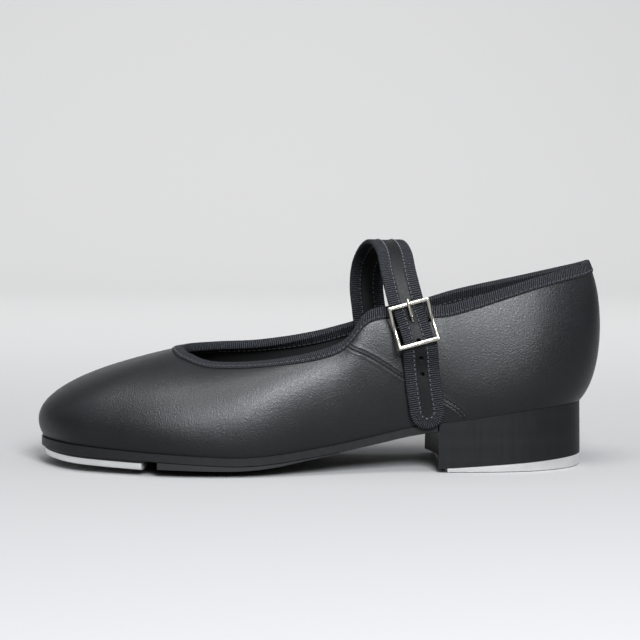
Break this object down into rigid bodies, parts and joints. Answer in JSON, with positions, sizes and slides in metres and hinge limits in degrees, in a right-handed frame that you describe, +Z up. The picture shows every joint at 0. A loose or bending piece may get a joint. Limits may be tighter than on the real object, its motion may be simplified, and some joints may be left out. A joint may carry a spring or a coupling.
{
  "type": "tap shoe",
  "caption": "Low-heeled strap tap shoe for the left foot: black leather upper with ribbed binding, one buckled instep strap, and screwed metal taps under toe and heel.",
  "frame": {"origin": "middle of the shoe seen from above, on the floor it stands on", "axes": "+X towards the heel, so the toe points to -X; +Y towards the inner (big toe) side; +Z up"},
  "size_m": [0.2496, 0.0822, 0.0998],
  "materials": {
    "upper_leather": "smooth full grain, soft sheen",
    "lining": "matte lining leather",
    "interlining": "woven cotton, unbleached",
    "stiffener": "matte thermoplastic sheet",
    "binding": "ribbed grosgrain tape",
    "insole_fibre": "pressed cellulose board",
    "shank_steel": "tempered steel strip",
    "filler": "cork and resin filler",
    "sole": "sole leather, black edge dressing",
    "rubber_patch": "ribbed rubber",
    "tap_alloy": "cast and tumbled, satin",
    "screw_steel": "plated wood screws and nails",
    "heel_cover": "moulded, satin black",
    "nickel": "bright nickel plate"
  },
  "bodies": {
    "shoe": {"vamp": "upper_leather", "quarter_lateral": "upper_leather", "quarter_medial": "upper_leather", "toe_puff": "stiffener", "heel_counter": "stiffener", "vamp_interlining": "interlining", "quarter_interlining": "interlining", "vamp_lining": "lining", "quarter_lining": "lining", "topline_binding": "binding", "sock_liner": "lining", "insole_board": "insole_fibre", "shank": "shank_steel", "bottom_filler": "filler", "outsole": "sole", "forepart_patch": "rubber_patch", "tap_board": "insole_fibre", "toe_tap": "tap_alloy", "toe_tap_screws": "screw_steel", "heel_block": "heel_cover", "heel_nails": "screw_steel", "heel_tap": "tap_alloy", "heel_tap_screws": "screw_steel", "strap_leather": "upper_leather", "strap_lining": "lining", "strap_binding_front": "binding", "strap_binding_rear": "binding", "chape": "upper_leather"},
    "tail": {"tail_leather": "upper_leather", "tail_lining": "lining", "tail_binding": "binding"},
    "buckle": {"buckle_frame": "nickel", "buckle_bar": "nickel"},
    "prong": {"prong": "nickel"}
  },
  "joints": [
    {"name": "buckle_tilt", "type": "hinge", "parent": "shoe", "child": "buckle", "pos_m": [0.03766, -0.02852, 0.0649], "axis": [0.9636, 0, 0.2672], "range_deg": [-2, 4]},
    {"name": "prong_pivot", "type": "hinge", "parent": "buckle", "child": "prong", "pos_m": [0.03766, -0.02852, 0.0649], "axis": [0.9636, 0, 0.2672], "range_deg": [0, 40]},
    {"name": "tail_lift", "type": "hinge", "parent": "shoe", "child": "tail", "pos_m": [0.04032, -0.03392, 0.05487], "axis": [-0.9848, 0.0269, -0.1717], "range_deg": [0, 60]}
  ]
}
